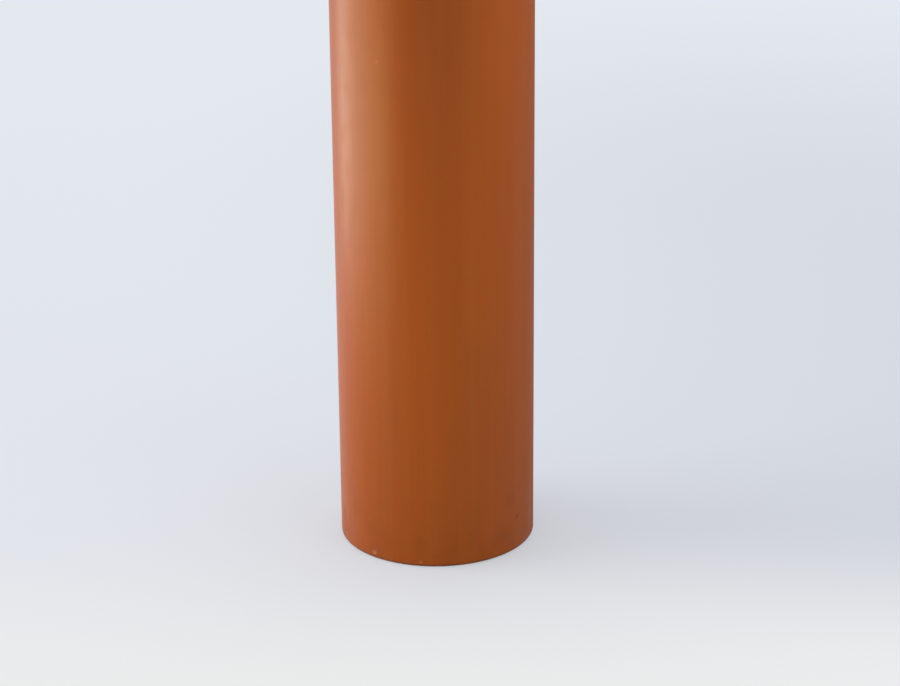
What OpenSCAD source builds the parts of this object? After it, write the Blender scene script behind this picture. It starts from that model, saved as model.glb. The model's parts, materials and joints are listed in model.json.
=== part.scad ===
// Plain-ended vitrified clay drain pipe, standing on one end.
// Extruded and fired as one piece: a straight wall around a clear bore, cut square,
// with the edges of both ends rubbed round while the clay was soft.
// Millimetres. The axis is Z, and the foot stands on Z = 0.

/* [Barrel] */
// Diameter of the clear bore
bore_d = 100; // [75:1:300]
// Thickness of the fired wall
wall_t = 15.5; // [8:0.5:40]
// Length from end to end
pipe_len = 1250; // [250:10:2500]

/* [Ends] */
// Radius of the outer edge at each end
outer_edge_r = 2; // [0.5:0.25:4]
// Radius of the bore's edge at each end
bore_edge_r = 1.5; // [0.5:0.25:3]

/* [Hidden] */

$fn = 128;
bore_r = bore_d / 2;
outer_r = bore_r + wall_t;
// How far a cutter reaches past the face that it cuts
overcut = 1;

// What a rounded corner loses: the corner is at the origin and the clay lies towards +X and +Y
module corner_waste(r) {
    difference() {
        translate([-overcut, -overcut]) square(r + overcut);
        translate([r, r]) circle(r);
    }
}

// The waste of both edges of the foot
module foot_waste() {
    translate([bore_r, 0]) corner_waste(bore_edge_r);
    translate([outer_r, 0]) mirror([1, 0]) corner_waste(outer_edge_r);
}

// Section through the wall on one side of the axis, with the foot on Y = 0
module wall_section() {
    difference() {
        translate([bore_r, 0]) square([wall_t, pipe_len]);
        foot_waste();
        translate([0, pipe_len]) mirror([0, 1]) foot_waste();
    }
}

module pipe() {
    color("#9c4f25") rotate_extrude() wall_section();
}

pipe();
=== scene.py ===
# Clay drain pipe: a plain-ended length of vitrified clay pipe, standing on one end.
import json
import math
import bpy
import numpy as np
from mathutils import Matrix, Vector


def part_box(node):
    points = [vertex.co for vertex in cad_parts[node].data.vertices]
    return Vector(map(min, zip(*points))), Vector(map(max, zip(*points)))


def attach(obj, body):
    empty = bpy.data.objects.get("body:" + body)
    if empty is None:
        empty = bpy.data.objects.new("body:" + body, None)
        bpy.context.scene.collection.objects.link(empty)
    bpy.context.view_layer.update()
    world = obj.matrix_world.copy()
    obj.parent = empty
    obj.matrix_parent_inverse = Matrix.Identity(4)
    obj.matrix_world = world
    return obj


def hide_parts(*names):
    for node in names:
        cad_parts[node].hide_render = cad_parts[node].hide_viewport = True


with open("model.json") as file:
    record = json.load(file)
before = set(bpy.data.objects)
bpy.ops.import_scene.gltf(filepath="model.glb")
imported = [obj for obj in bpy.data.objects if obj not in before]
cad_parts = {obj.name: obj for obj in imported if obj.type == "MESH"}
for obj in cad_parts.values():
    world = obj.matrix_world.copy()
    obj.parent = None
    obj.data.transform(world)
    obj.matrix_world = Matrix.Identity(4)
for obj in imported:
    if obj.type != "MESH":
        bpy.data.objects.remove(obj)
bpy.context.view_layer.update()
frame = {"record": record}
scene = bpy.context.scene
scene.view_settings.view_transform = "Standard"
mm = 0.001  # the scene is in metres
fullTurn = 2 * math.pi

# the pipe's own sizes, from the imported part
mounts = {mount["name"]: mount["dims"] for mount in frame["record"]["mounts"]}
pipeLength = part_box("pipe")[1].z
outerR = mounts["barrel"]["r_mm"] * mm
boreR = mounts["bore"]["r_mm"] * mm
outerEdgeR = (pipeLength - mounts["barrel"]["length_mm"] * mm) / 2
boreEdgeR = (pipeLength - mounts["bore"]["length_mm"] * mm) / 2
print("sizes: outside radius", outerR, "bore radius", boreR, "length", pipeLength)


# sRGB hex to the linear colour that a shader takes
def hexColour(code):
    levels = [int(code[i:i + 2], 16) / 255 for i in (1, 3, 5)]
    linear = [level / 12.92 if level <= 0.04045 else ((level + 0.055) / 1.055) ** 2.4 for level in levels]
    return (*linear, 1)


# an empty node tree for a new material or world
def emptyTree(owner):
    owner.use_nodes = True
    owner.node_tree.nodes.clear()
    return owner.node_tree


# one node: settings are its own options or its sockets' values, links are the sockets that feed it
def addNode(tree, kind, settings=None, links=None):
    node = tree.nodes.new(kind)
    for name, value in (settings or {}).items():
        if isinstance(name, str) and hasattr(node, name):
            setattr(node, name, value)
        else:
            node.inputs[name].default_value = value
    for name, socket in (links or {}).items():
        tree.links.new(socket, node.inputs[name])
    return node


mixFactor, mixUnder, mixOver, mixResult = 0, 6, 7, 2  # the colour sockets of a Mix node


# colours painted over the body's colour in order, each where its mask says
def paintOver(tree, body, layers):
    colour = None
    for mask, code in layers:
        paint = {"data_type": "RGBA", mixUnder: hexColour(body), mixOver: hexColour(code)}
        links = {mixFactor: mask} | ({mixUnder: colour} if colour else {})
        colour = addNode(tree, "ShaderNodeMix", paint, links).outputs[mixResult]
    return colour


# Camera: in front of the pipe, looking down on its foot
cameraSetup = {
    "sensorMm": 36,
    "lensMm": 99.61,
    "placeMm": (9.58, -1556.5, 708.74),
    "tiltDownDeg": 20.279,
    "rollDeg": -0.492,
}


def makeCamera():
    data = bpy.data.cameras.new("studioCamera")
    data.sensor_fit = "HORIZONTAL"
    data.sensor_width = cameraSetup["sensorMm"]
    data.lens = cameraSetup["lensMm"]
    camera = bpy.data.objects.new("studioCamera", data)
    scene.collection.objects.link(camera)
    tilt = Matrix.Rotation(math.radians(90 - cameraSetup["tiltDownDeg"]), 4, "X")
    roll = Matrix.Rotation(math.radians(cameraSetup["rollDeg"]), 4, "Z")
    camera.matrix_world = Matrix.Translation(Vector(cameraSetup["placeMm"]) * mm) @ tilt @ roll
    scene.camera = camera
    print("camera: standing at", cameraSetup["placeMm"], "mm")


makeCamera()

# Pipe: the shape. Azimuths are in degrees, 0 facing the camera and 90 to its right
pipeMake = {
    "columns": 360,           # round the barrel; near the ends there are twice as many, for the chips
    "barrelStepMm": 25,       # between rings up the outside
    "boreStepMm": 50,         # between rings up the bore
    "barrelFineMm": 32,       # how far from each end the fine rings go outside
    "boreFineMm": 4,          # and in the bore
    "fineStepMm": 0.6,        # the first fine ring's distance, and each next one is further by fineGrowth
    "fineGrowth": 1.18,
    "roundSteps": 6,          # rings over a rounded edge
    "faceSteps": 10,          # rings over an end face
    "flatGapMm": 6,           # between the zones when the wall is laid flat
    "seed": 7,
    "ovalMm": 0.12,           # how far the barrel is out of round
    "ovalTurn": 0.7,          # which way the oval lies, in radians
    "wavesMm": 0.05,          # slow waves in the wall, from drying
    "wavesRound": 3,          # how many there are round the wall
    "wavesTwist": 5,          # how they turn along the pipe, in radians for each metre
    "wavesFade": 11,          # how they come and go along it, in the same way
    "drawnLines": 70,         # lines that the die and the core drew along the clay
    "drawnWidthMm": (2.5, 9),
    "drawnDepthMm": 0.018,
    "drawnWaveM": (0.25, 0.9),  # the length over which a line grows deeper and shallower again
    "drawnSwell": 0.4,        # how far that goes, as a share of its depth
    "wireLineMm": 2.6,        # spacing of the finest marks that the cutting wire left on the ends
    "wireParts": (1, 0.63, 0.41, 0.23),  # how close each set of marks lies, beside the finest
    "wireDepthMm": 0.12,
    "wireTurnDeg": 20,
    "paleFromMm": 0.5,        # how deep a flake has to be to show the clay's full pale inside
    # flakes broken off: end, azimuth, then in mm the middle's distance from the end, width, height and depth
    "chips": (
        ("foot", -40.0, 4.6, 4.2, 3.2, 0.40),
        ("foot", -9.4, 3.8, 3.4, 3.4, 0.18),
        ("foot", 96, 0, 4.5, 6.0, 1.6),
        ("foot", 171, 0, 2.6, 4.8, 1.0),
        ("foot", 233, 0, 5.5, 7.2, 1.8),
        ("top", 28, 0, 3.0, 4.4, 1.2),
        ("top", 147, 0, 4.2, 5.6, 1.5),
        ("top", 262, 0, 2.4, 4.0, 0.9),
    ),
}
# each zone's place among the pipe's materials
finishOrder = {"skin": 0, "topFace": 1, "footFace": 1, "bore": 2}


# heights of the rings up a straight wall: fine near both ends, where the columns are doubled
def wallHeights(low, high, coarseStepMm, fineReachMm):
    fine = [0.0]
    step = pipeMake["fineStepMm"] * mm
    while fine[-1] + step < fineReachMm * mm:
        fine.append(fine[-1] + step)
        step *= pipeMake["fineGrowth"]
    fine = np.array(fine)
    coarseCount = math.ceil((high - low - 2 * fine[-1]) / (coarseStepMm * mm))
    coarse = np.linspace(low + fine[-1], high - fine[-1], coarseCount + 1)[1:-1]
    heights = np.concatenate([low + fine, coarse, high - fine[::-1]])
    doubled = np.repeat([True, False, True], [len(fine), len(coarse), len(fine)])
    return heights, doubled


# the wall's section, walked once round from the foot's outer edge
# each row: radius, height, the clay's outward direction (out, up), zone, whether the columns are doubled
def sectionRows():
    rows = []

    def roundedEdge(centreR, centreZ, edgeR, startDeg, zone):
        for turn in np.radians(np.linspace(startDeg, startDeg + 90, pipeMake["roundSteps"] + 1)[:-1]):
            out, up = math.cos(turn), math.sin(turn)
            rows.append((centreR + edgeR * out, centreZ + edgeR * up, out, up, zone, True))

    def straightWall(radius, heights, doubled, out, zone):
        for height, fine in zip(heights[:-1], doubled[:-1]):
            rows.append((radius, height, out, 0.0, zone, bool(fine)))

    def endFace(fromR, toR, height, up, zone):
        for radius in np.linspace(fromR, toR, pipeMake["faceSteps"] + 1)[:-1]:
            rows.append((radius, height, 0.0, up, zone, True))

    barrelSteps = pipeMake["barrelStepMm"], pipeMake["barrelFineMm"]
    boreSteps = pipeMake["boreStepMm"], pipeMake["boreFineMm"]
    outside, outsideFine = wallHeights(outerEdgeR, pipeLength - outerEdgeR, *barrelSteps)
    inside, insideFine = wallHeights(boreEdgeR, pipeLength - boreEdgeR, *boreSteps)
    faceOuterR = outerR - outerEdgeR
    faceInnerR = boreR + boreEdgeR
    roundedEdge(faceOuterR, outerEdgeR, outerEdgeR, -90, "skin")
    straightWall(outerR, outside, outsideFine, 1.0, "skin")
    roundedEdge(faceOuterR, pipeLength - outerEdgeR, outerEdgeR, 0, "skin")
    endFace(faceOuterR, faceInnerR, pipeLength, 1.0, "topFace")
    roundedEdge(faceInnerR, pipeLength - boreEdgeR, boreEdgeR, 90, "bore")
    straightWall(boreR, inside[::-1], insideFine[::-1], -1.0, "bore")
    roundedEdge(faceInnerR, boreEdgeR, boreEdgeR, 180, "bore")
    endFace(faceInnerR, faceOuterR, 0.0, -1.0, "footFace")
    return rows


def shortestTurn(angles):
    return (angles + math.pi) % fullTurn - math.pi


def seededLines(random):
    count = pipeMake["drawnLines"]
    return {
        "azimuth": random.uniform(0, fullTurn, count),
        "width": random.uniform(*pipeMake["drawnWidthMm"], count) * mm,
        "depth": random.normal(0, pipeMake["drawnDepthMm"], count) * mm,
        "wave": random.uniform(*pipeMake["drawnWaveM"], count),
        "phase": random.uniform(0, fullTurn, count),
    }


# how far one ring stands out from the true section:
# drawn lines and drying on the walls, wire marks on the ends
def ringRelief(azimuths, radius, height, out, up, lines, wirePhases):
    arcs = shortestTurn(azimuths[:, None] - lines["azimuth"]) * radius
    swell = pipeMake["drawnSwell"]
    growth = 1 - swell + swell * np.cos(fullTurn * height / lines["wave"] + lines["phase"])
    drawn = (lines["depth"] * growth * np.exp(-(arcs / lines["width"]) ** 2)).sum(1)
    oval = pipeMake["ovalMm"] * mm * np.cos(2 * azimuths + pipeMake["ovalTurn"])
    wavePlaces = pipeMake["wavesRound"] * azimuths + pipeMake["wavesTwist"] * height
    waves = pipeMake["wavesMm"] * mm * np.cos(wavePlaces) * math.cos(pipeMake["wavesFade"] * height)
    across = radius * np.sin(azimuths + math.radians(pipeMake["wireTurnDeg"]))
    wire = np.zeros(len(azimuths))  # from -0.5 to 0.5, once every set of marks is added
    for part, phase in zip(pipeMake["wireParts"], wirePhases):
        marks = np.cos(across / (pipeMake["wireLineMm"] * mm) * fullTurn * part + phase)
        wire += marks / (2 * len(wirePhases))
    cut = pipeMake["wireDepthMm"] * mm * (wire + 0.5)
    return drawn * abs(out) + (oval + waves) * out - cut * abs(up)


# a flake broken off: points inside an ellipsoid move to its far side, straight in on the wall,
# and inwards and along the pipe where the ellipsoid sits on the edge
def breakChips(azimuths, radii, heights):
    chipped = np.zeros(len(azimuths))
    for end, azimuthDeg, middleMm, widthMm, tallMm, depthMm in pipeMake["chips"]:
        fromEnd = heights if end == "foot" else pipeLength - heights
        arcs = shortestTurn(azimuths - math.radians(azimuthDeg)) * outerR
        size = np.array([widthMm / 2, depthMm, tallMm / 2]) * mm
        inside = np.stack([arcs, outerR - radii, fromEnd - middleMm * mm], 1) / size
        slant = math.sqrt(0.5) if middleMm == 0 else 0  # on the edge, as far along as inwards
        inward = math.sqrt(1 - slant ** 2)
        push = np.array([0, inward, slant]) / size
        # the ellipsoid is scaled to a ball of radius 1: how far along push each point is from the far side
        pushed, lean, reach = push @ push, inside @ push, (inside ** 2).sum(1)
        toFarSide = (np.sqrt(np.maximum(lean * lean - pushed * (reach - 1), 0)) - lean) / pushed
        move = np.where(reach < 1, toFarSide, 0)
        radii = radii - move * inward
        fromEnd = fromEnd + move * slant
        heights = fromEnd if end == "foot" else pipeLength - fromEnd
        chipped = np.maximum(chipped, np.clip(move / (pipeMake["paleFromMm"] * mm), 0, 1))
    return radii, heights, chipped


# every ring's points, how deeply each point is chipped, and each ring's first point and count
def ringPoints(rows):
    random = np.random.default_rng(pipeMake["seed"])
    dieLines = seededLines(random)
    coreLines = seededLines(random)
    wirePhases = random.uniform(0, fullTurn, len(pipeMake["wireParts"]))
    points, chips, rings = [], [], []
    for radius, height, out, up, zone, doubled in rows:
        count = pipeMake["columns"] * (2 if doubled else 1)
        azimuths = math.pi + np.arange(count) * fullTurn / count  # the flat map's seam is at the back
        lines = coreLines if zone == "bore" else dieLines
        relief = ringRelief(azimuths, radius, height, out, up, lines, wirePhases)
        heights = np.clip(height + relief * up, 0, pipeLength)
        radii, heights, chipped = breakChips(azimuths, radius + relief * out, heights)
        rings.append((len(chips), count))
        chips.extend(chipped)
        points.append(np.stack([radii * np.sin(azimuths), -radii * np.cos(azimuths), heights], 1))
    return np.concatenate(points).tolist(), chips, rings


# where each zone lies when the wall is laid flat, for a picture baked from the finish: left, width, bottom
def flatCharts():
    gap = pipeMake["flatGapMm"] * mm
    outside = fullTurn * outerR
    inside = fullTurn * boreR
    above = pipeLength + outerEdgeR * math.pi + gap
    charts = {
        "skin": (0, outside, 0),
        "topFace": (0, outside, above),
        "bore": (outside + gap, inside, 0),
        "footFace": (outside + gap, inside, above),
    }
    return charts, outside + gap + inside, above + outerR - boreR


# the faces between each ring and the next, with their materials and their corners on the flat map
def ringFaces(rows, rings):
    charts, flatWidth, flatHeight = flatCharts()
    faces, finishes, flat = [], [], []
    walked, chartZone = 0.0, None
    for row, (start, count) in enumerate(rings):
        nextRow = (row + 1) % len(rings)
        nextStart, nextCount = rings[nextRow]
        radius, height, _, _, zone, _ = rows[row]
        nextRadius, nextHeight, *_ = rows[nextRow]
        if zone != chartZone:
            walked, chartZone = 0.0, zone
        left, width, bottom = charts[zone]
        step = math.dist((radius, height), (nextRadius, nextHeight))
        strips = min(count, nextCount)
        below, above = count // strips, nextCount // strips
        for strip in range(strips):
            lower = [strip * below + i for i in range(below + 1)]
            upper = [strip * above + i for i in range(above, -1, -1)]
            faces.append([start + i % count for i in lower] + [nextStart + i % nextCount for i in upper])
            finishes.append(finishOrder[zone])
            for i in lower:
                flat += [(left + width * i / count) / flatWidth, (bottom + walked) / flatHeight]
            for i in upper:
                flat += [(left + width * i / nextCount) / flatWidth, (bottom + walked + step) / flatHeight]
        walked += step
    return faces, finishes, flat


def makePipe():
    rows = sectionRows()
    points, chips, rings = ringPoints(rows)
    faces, finishes, flat = ringFaces(rows, rings)
    mesh = bpy.data.meshes.new("clayPipe")
    mesh.from_pydata(points, [], faces)
    mesh.uv_layers.new(name="OFBake").data.foreach_set("uv", flat)
    mesh.attributes.new("chipped", "FLOAT", "POINT").data.foreach_set("value", chips)
    mesh.polygons.foreach_set("material_index", finishes)
    mesh.polygons.foreach_set("use_smooth", [True] * len(faces))
    mesh.update()
    pipe = bpy.data.objects.new("clayPipe", mesh)
    scene.collection.objects.link(pipe)
    print("pipe:", len(rows), "rings,", sum(len(face) - 2 for face in faces), "triangles")
    return pipe


# Pipe: the finishes. All sizes are in mm
# patterns: size across X, Y and Z, turn about Z in degrees, detail, noise level where it starts and is full
# specks: spacing, diameter, share of the places that have one
# marks: places as azimuth in degrees and height, with their width and how tall they are
# fades: a pattern kept to the part near the foot, full below one height and gone above another
# layers: what is painted over the body's colour, in order, with its strength
# relief: how far a pattern stands up, or lies deeper if negative
# rough: how rough a pattern's place is
speckCore = 0.6  # share of a speck's radius within which it shows fully

# Vitrified clay as the die left it and the kiln fired it: a smooth satin skin, orange-brown,
# with faint streaks along the pipe, a few iron specks and handling marks near the foot;
# painted shade darkens it towards the foot, along the foot's edge and in a streak down the front
skinLook = {
    "body": "#93410A",
    "ior": 1.37,  # fired clay is about 1.5, but its pores take some of the mirror light away
    "tint": "#FFF7B8",  # its highlights are a little warm
    "roughness": 0.38,
    "patterns": {
        "kilnFlush": ((85, 85, 240), 0, 2, 0.40, 0.70),
        "ochreStreak": ((10, 10, 650), 0, 2, 0.48, 0.72),
        "redStreak": ((5, 5, 420), 0, 2, 0.50, 0.72),
        "mottle": ((9, 9, 13), 0, 2, 0.45, 0.72),
        "drawnLine": ((1.4, 1.4, 170), 0, 1, 0.42, 0.66),  # real lines are finer, but would not show
        "grain": ((0.8, 0.8, 0.8), 0, 1, 0.50, 0.75),
        # noise for the darkening near the foot: part stain, part painted shade
        "stainAndShadeNoise": ((16, 16, 22), 0, 3, 0.42, 0.66),
        # noise for the dark line along the foot's edge: part grime, part painted shadow
        "grimeAndShadowNoise": ((18, 18, 18), 0, 2, 0.25, 0.55),
    },
    "specks": {
        "ironSpeck": (11, 0.9, 0.35),
        "grogFleck": (8, 0.8, 0.4),
    },
    "marks": {
        "ironSpot": ((54.7, 24.3, 9, 7),),
        "paleFleck": ((-31.4, 339.3, 4.5, 5),),
        "smudge": ((-42.3, 19.8, 10, 10), (47.9, 38.7, 20, 16), (43.6, 14.8, 26, 16)),
        "dullSide": ((78, 625, 150, 4000),),  # fired a little duller, so its edge hardly shines
        # painted shade: the mark facing the camera darkens the pipe's front where it lies in shade; the two
        # further round are kiln flashes
        "kilnFlashAndPaintedShade": ((4, 500, 95, 780), (148, 860, 80, 700), (243, 330, 70, 560)),
    },
    # painted contact shadow along the foot's edge, with some grime
    # painted shade: darker towards the foot, where less light reaches, with some stain
    "fades": {"footStainAndPaintedShade": ("stainAndShadeNoise", 8, 60), "edgeGrimeAndPaintedShadow": ("grimeAndShadowNoise", 0.4, 2.2)},
    "layers": (
        ("kilnFlush", "#7E3A12", 0.25),
        # painted shade down the front, and kiln flashes further round
        ("kilnFlashAndPaintedShade", "#722F0D", 0.84),
        ("ochreStreak", "#985321", 0.16),
        ("redStreak", "#7D3412", 0.12),
        ("mottle", "#83400F", 0.14),
        ("drawnLine", "#783711", 0.07),
        ("grain", "#6E3010", 0.10),
        # painted shade towards the foot, with stain
        ("footStainAndPaintedShade", "#66330F", 0.20),
        ("smudge", "#68340F", 0.18),
        ("ironSpeck", "#3C1B0C", 0.40),
        ("grogFleck", "#A86E3C", 0.20),
        ("ironSpot", "#451905", 0.42),
        ("paleFleck", "#C08A5C", 0.12),
        # painted contact shadow along the foot's edge, with grime
        ("edgeGrimeAndPaintedShadow", "#34190C", 0.70),
        ("chip", "#AE7A5C", 0.55),
    ),
    "relief": (("drawnLine", 0.015), ("grain", 0.006), ("ironSpot", -0.03)),
    "rough": (("mottle", 0.42), ("dullSide", 0.70), ("footStainAndPaintedShade", 0.47), ("edgeGrimeAndPaintedShadow", 0.7), ("chip", 0.85)),
}

# Vitrified clay cut with a wire and rubbed with a wet sponge:
# matt, a little paler, with the wire's lines across it
endLook = {
    "body": "#A0602F",
    "ior": 1.37,
    "tint": "#FFF7B8",
    "roughness": 0.72,
    "patterns": {
        # turned so that the lines run along the wire marks in the shape
        "wireLine": ((220, 1.3, 40), pipeMake["wireTurnDeg"] - 90, 1, 0.40, 0.66),
        "sponged": ((7, 7, 7), 0, 3, 0.40, 0.70),
        "grain": ((0.7, 0.7, 0.7), 0, 2, 0.48, 0.72),
    },
    "specks": {"ironSpeck": (5, 0.9, 0.5), "grogFleck": (4, 1.1, 0.6)},
    "marks": {},
    "fades": {},
    "layers": (
        ("wireLine", "#A15527", 0.40),
        ("sponged", "#BF7440", 0.35),
        ("grain", "#9C5228", 0.25),
        ("ironSpeck", "#4E2814", 0.6),
        ("grogFleck", "#D49B6C", 0.45),
        ("chip", "#B4805E", 0.9),
    ),
    "relief": (("wireLine", 0.08), ("grain", 0.03), ("grogFleck", 0.06)),
    "rough": (("chip", 0.85),),
}

# Vitrified clay drawn over the core: duller and redder than the outside, with plainer lines along the bore
boreLook = {
    "body": "#83421A",
    "ior": 1.37,
    "tint": "#FFF7B8",
    "roughness": 0.46,
    "patterns": {
        "kilnFlush": ((60, 60, 200), 0, 2, 0.40, 0.70),
        "drawnLine": ((1.6, 1.6, 240), 0, 2, 0.40, 0.64),
        "redStreak": ((6, 6, 500), 0, 2, 0.46, 0.70),
        "grain": ((0.9, 0.9, 0.9), 0, 2, 0.48, 0.74),
    },
    "specks": {"ironSpeck": (8, 1.0, 0.5)},
    "marks": {},
    "fades": {},
    "layers": (
        ("kilnFlush", "#8E4219", 0.40),
        ("redStreak", "#93401B", 0.30),
        ("drawnLine", "#8B4219", 0.22),
        ("grain", "#823C17", 0.15),
        ("ironSpeck", "#4A2310", 0.6),
        ("chip", "#B4805E", 0.9),
    ),
    "relief": (("drawnLine", 0.04), ("grain", 0.012)),
    "rough": (("kilnFlush", 0.54), ("chip", 0.85)),
}


# where each pattern, speck, mark and fade of a look lies, from 0 off it to 1 fully on it
def clayMasks(tree, look):
    place = addNode(tree, "ShaderNodeTexCoord").outputs["Object"]
    height = addNode(tree, "ShaderNodeSeparateXYZ", {}, {0: place}).outputs["Z"]
    masks = {"chip": addNode(tree, "ShaderNodeAttribute", {"attribute_name": "chipped"}).outputs["Fac"]}

    for pattern, (size, turnDeg, detail, start, full) in look["patterns"].items():
        turn = {"Rotation": (0, 0, math.radians(turnDeg))}
        turned = addNode(tree, "ShaderNodeMapping", turn, {"Vector": place}).outputs[0]
        scale = {"Scale": [1 / (side * mm) for side in size]}
        sized = addNode(tree, "ShaderNodeMapping", scale, {"Vector": turned}).outputs[0]
        noise = addNode(tree, "ShaderNodeTexNoise", {"Scale": 1, "Detail": detail}, {"Vector": sized})
        ramp = {"interpolation_type": "SMOOTHSTEP", "From Min": start, "From Max": full}
        masks[pattern] = addNode(tree, "ShaderNodeMapRange", ramp, {"Value": noise.outputs[0]}).outputs[0]

    for speck, (spacing, diameter, share) in look["specks"].items():
        cells = addNode(tree, "ShaderNodeTexVoronoi", {"Scale": 1 / (spacing * mm)}, {"Vector": place})
        edge = diameter / 2 / spacing
        ramp = {"From Min": edge, "From Max": edge * speckCore}
        dots = addNode(tree, "ShaderNodeMapRange", ramp, {"Value": cells.outputs["Distance"]}).outputs[0]
        few = {"operation": "LESS_THAN", 1: share}
        chosen = addNode(tree, "ShaderNodeMath", few, {0: cells.outputs["Color"]}).outputs[0]
        both = {0: dots, 1: chosen}
        masks[speck] = addNode(tree, "ShaderNodeMath", {"operation": "MULTIPLY"}, both).outputs[0]

    for mark, spots in look["marks"].items():
        masks[mark] = None
        for azimuthDeg, heightMm, widthMm, tallMm in spots:
            turn = math.radians(azimuthDeg)
            centre = (outerR * math.sin(turn), -outerR * math.cos(turn), heightMm * mm)
            half = [widthMm / 2 * mm, widthMm / 2 * mm, tallMm / 2 * mm]
            within = {"vector_type": "TEXTURE", "Location": centre, "Scale": half}
            sized = addNode(tree, "ShaderNodeMapping", within, {"Vector": place}).outputs[0]
            distance = {"operation": "LENGTH"}
            away = addNode(tree, "ShaderNodeVectorMath", distance, {0: sized}).outputs["Value"]
            ramp = {"interpolation_type": "SMOOTHSTEP", "From Min": 1, "From Max": 0}
            spot = addNode(tree, "ShaderNodeMapRange", ramp, {"Value": away}).outputs[0]
            if masks[mark]:
                both = {0: masks[mark], 1: spot}
                spot = addNode(tree, "ShaderNodeMath", {"operation": "MAXIMUM"}, both).outputs[0]
            masks[mark] = spot

    for fade, (pattern, fullMm, goneMm) in look["fades"].items():
        ramp = {"interpolation_type": "SMOOTHSTEP", "From Min": goneMm * mm, "From Max": fullMm * mm}
        low = addNode(tree, "ShaderNodeMapRange", ramp, {"Value": height}).outputs[0]
        both = {0: low, 1: masks[pattern]}
        masks[fade] = addNode(tree, "ShaderNodeMath", {"operation": "MULTIPLY"}, both).outputs[0]
    return masks


def firedClay(name, look):
    material = bpy.data.materials.new(name)
    tree = emptyTree(material)
    masks = clayMasks(tree, look)

    layers = []
    for layer, code, strength in look["layers"]:
        share = addNode(tree, "ShaderNodeMath", {"operation": "MULTIPLY", 1: strength}, {0: masks[layer]})
        layers.append((share.outputs[0], code))
    colour = paintOver(tree, look["body"], layers)

    roughness = None
    for layer, value in look["rough"]:
        ends = {"To Min": look["roughness"], "To Max": value}
        links = {"Value": masks[layer]} | ({"To Min": roughness} if roughness else {})
        roughness = addNode(tree, "ShaderNodeMapRange", ends, links).outputs[0]

    raised = None
    for layer, reliefMm in look["relief"]:
        links = {0: masks[layer]} | ({2: raised} if raised else {})
        lift = {"operation": "MULTIPLY_ADD", 1: reliefMm * mm, 2: 0}
        raised = addNode(tree, "ShaderNodeMath", lift, links).outputs[0]
    bump = addNode(tree, "ShaderNodeBump", {"Distance": 1}, {"Height": raised})

    shader = addNode(
        tree,
        "ShaderNodeBsdfPrincipled",
        {"IOR": look["ior"], "Specular Tint": hexColour(look["tint"])},
        {"Base Color": colour, "Roughness": roughness, "Normal": bump.outputs[0]},
    )
    addNode(tree, "ShaderNodeOutputMaterial", {}, {"Surface": shader.outputs[0]})
    print("finish:", name, "with", len(tree.nodes), "nodes")
    return material


pipe = makePipe()
pipe.data.materials.append(firedClay("vitrified clay, extruded skin", skinLook))
pipe.data.materials.append(firedClay("vitrified clay, wire-cut end", endLook))
pipe.data.materials.append(firedClay("vitrified clay, bore drawn over the core", boreLook))
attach(pipe, "root")
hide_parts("pipe")


# 1 for what is seen directly, in a gloss or through glass, so that a pale backdrop looks alike in all three
def seenRays(tree):
    rays = addNode(tree, "ShaderNodeLightPath").outputs
    seen = rays["Is Camera Ray"]
    for name in ("Is Glossy Ray", "Is Transmission Ray"):
        seen = addNode(tree, "ShaderNodeMath", {"operation": "MAXIMUM"}, {0: seen, 1: rays[name]}).outputs[0]
    return seen


# Floor: a plain pale studio floor; its colour changes slowly, as places in metres say
floorMake = {
    "radiusM": 40,
    "sides": 96,
    "dropMm": 0.05,  # below the foot, so that the two never lie in one plane
    "glow": 0.5,  # share of its look that does not depend on the light, so the shadow stays faint
    "colour": "#E5E9EF",
    "shades": (
        # colour, axis or distance from the pipe, where it starts and where it is full
        # painted shade: the floor is darker on the right, away from the light on the left
        ("#D9DDE5", "X", -0.35, 0.45),
        ("#F0F1F1", "Y", 0.02, -0.25),
        ("#EAEEF4", "away", 0.7, 1.9),
    ),
}


# Paper with a matt face, rolled out flat: no shine and no grain that shows, only slow changes of shade
def mattPaper():
    material = bpy.data.materials.new("matt paper floor")
    tree = emptyTree(material)
    place = addNode(tree, "ShaderNodeTexCoord").outputs["Object"]
    sides = addNode(tree, "ShaderNodeSeparateXYZ", {}, {0: place}).outputs
    away = addNode(tree, "ShaderNodeVectorMath", {"operation": "LENGTH"}, {0: place}).outputs["Value"]
    shades = []
    for code, axis, start, full in floorMake["shades"]:
        ramp = {"interpolation_type": "SMOOTHSTEP", "From Min": start, "From Max": full}
        along = away if axis == "away" else sides[axis]
        shades.append((addNode(tree, "ShaderNodeMapRange", ramp, {"Value": along}).outputs[0], code))
    colour = paintOver(tree, floorMake["colour"], shades)
    matt = addNode(tree, "ShaderNodeBsdfDiffuse", {}, {"Color": colour}).outputs[0]
    pale = addNode(tree, "ShaderNodeEmission", {"Strength": 1}, {"Color": colour}).outputs[0]
    glow = {"operation": "MULTIPLY", 1: floorMake["glow"]}
    share = addNode(tree, "ShaderNodeMath", glow, {0: seenRays(tree)}).outputs[0]
    shader = addNode(tree, "ShaderNodeMixShader", {}, {0: share, 1: matt, 2: pale})
    addNode(tree, "ShaderNodeOutputMaterial", {}, {"Surface": shader.outputs[0]})
    return material


def makeFloor():
    turns = np.arange(floorMake["sides"]) * fullTurn / floorMake["sides"]
    rim = np.stack([np.cos(turns), np.sin(turns), 0 * turns], 1) * floorMake["radiusM"]
    rim[:, 2] = -floorMake["dropMm"] * mm
    mesh = bpy.data.meshes.new("studioFloor")
    mesh.from_pydata(rim.tolist(), [], [list(range(len(rim)))])
    mesh.materials.append(mattPaper())
    floor = bpy.data.objects.new("studioFloor", mesh)
    scene.collection.objects.link(floor)
    print("floor:", floorMake["radiusM"], "m to its edge")
    return floor


floor = makeFloor()

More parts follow.
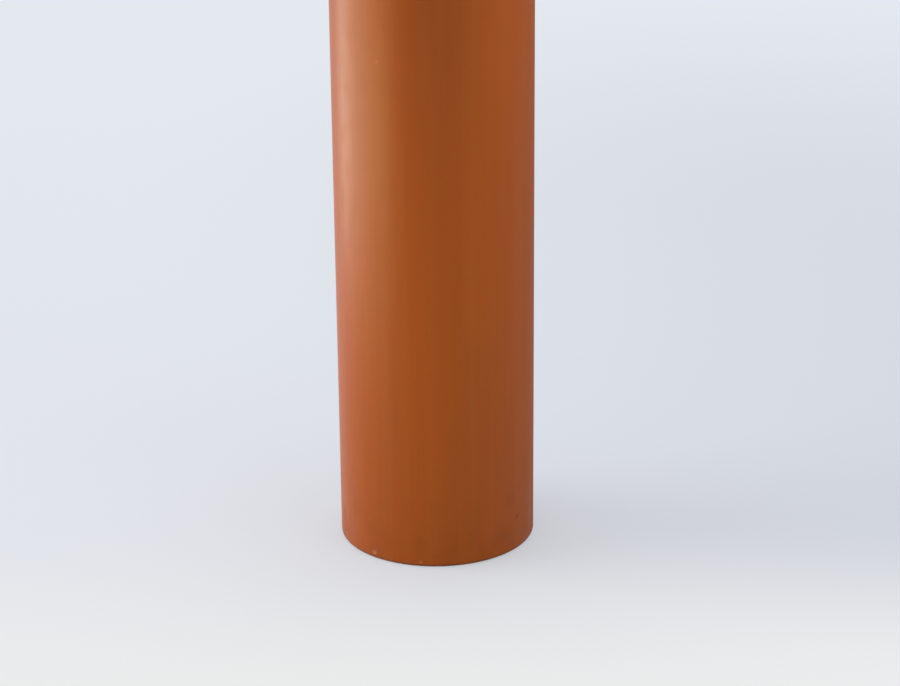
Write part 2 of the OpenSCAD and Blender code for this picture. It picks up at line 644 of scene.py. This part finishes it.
# Light: pale surroundings and soft panels; a panel's strength is how bright its face is, with white at 1
worldMake = {"colour": "#EEF1F5", "light": 0.50, "seen": 0.92}  # strength as light, and as it looks
faceWatts = 4  # what an area lamp takes for each square metre of its face, at strength 1
panels = {
    # name: place and aim in metres, width and height in metres, strength, what it lights
    "topPanel": ((0, 0.6, 2.6), (0, 0.6, 0), 3.0, 3.4, 0.85, "both"),
    "rightFarPanel": ((1.6, -1.6, 1.2), (0, 0, 0.4), 1.6, 1.6, 0.4, "both"),
    "rightHighPanel": ((0.55, -0.65, 1.15), (0, 0, 0.55), 1.0, 0.9, 2.7, "pipe"),
    # the camera looks down and the wall mirrors what stands low beside it, so the bright panels are low
    "leftPanel": ((-0.62, -0.03, 0.115), (0, 0, 0.115), 0.72, 0.23, 3.1, "pipe"),
    "leftBackPanel": ((-0.56, 0.275, 0.20), (0, 0, 0.20), 0.10, 0.30, 4.2, "pipe"),
    "leftFrontPanel": ((-0.49, -0.375, 0.115), (0, 0, 0.115), 0.14, 0.23, 2.4, "pipe"),
    "leftMidPanel": ((-0.62, -0.03, 0.39), (0, 0, 0.39), 0.72, 0.32, 2.0, "pipe"),
    "leftHighPanel": ((-0.62, -0.03, 1.0), (0, 0, 1.0), 0.72, 0.9, 0.9, "pipe"),
}
# a low, wide and even light from the left, which only draws the pipe's soft shadow on the floor
lowLight = {"fromDeg": (-90, 21), "spreadDeg": 46, "strength": 1.5}


def makeSurroundings():
    world = bpy.data.worlds.new("studioSurroundings")
    scene.world = world
    tree = emptyTree(world)
    strengths = {"To Min": worldMake["light"], "To Max": worldMake["seen"]}
    strength = addNode(tree, "ShaderNodeMapRange", strengths, {"Value": seenRays(tree)}).outputs[0]
    sky = {"Color": hexColour(worldMake["colour"])}
    glow = addNode(tree, "ShaderNodeBackground", sky, {"Strength": strength})
    addNode(tree, "ShaderNodeOutputWorld", {}, {"Surface": glow.outputs[0]})


def makePanels(litAlone):
    for name, (place, aim, width, height, strength, lit) in panels.items():
        data = bpy.data.lights.new(name, "AREA")
        data.shape = "RECTANGLE"
        data.size = width
        data.size_y = height
        data.energy = strength * width * height * faceWatts
        panel = bpy.data.objects.new(name, data)
        scene.collection.objects.link(panel)
        panel.location = place
        panel.rotation_euler = (Vector(aim) - Vector(place)).to_track_quat("-Z", "Y").to_euler()
        if lit in litAlone:
            panel.light_linking.receiver_collection = litAlone[lit]


def makeLowLight(litAlone):
    data = bpy.data.lights.new("lowLight", "SUN")
    data.angle = math.radians(lowLight["spreadDeg"])
    data.energy = lowLight["strength"]
    low = bpy.data.objects.new("lowLight", data)
    scene.collection.objects.link(low)
    turn, rise = map(math.radians, lowLight["fromDeg"])
    low.rotation_euler = (math.pi / 2 - rise, 0, turn)
    low.light_linking.receiver_collection = litAlone["floor"]


def makeLight():
    makeSurroundings()
    litAlone = {}  # a group for each of the two, which a lamp can be kept to
    for name, piece in (("pipe", pipe), ("floor", floor)):
        litAlone[name] = bpy.data.collections.new(name + "LitAlone")
        litAlone[name].objects.link(piece)
    makePanels(litAlone)
    makeLowLight(litAlone)
    print("light: surroundings,", len(panels), "panels and a low light for the shadow")


makeLight()
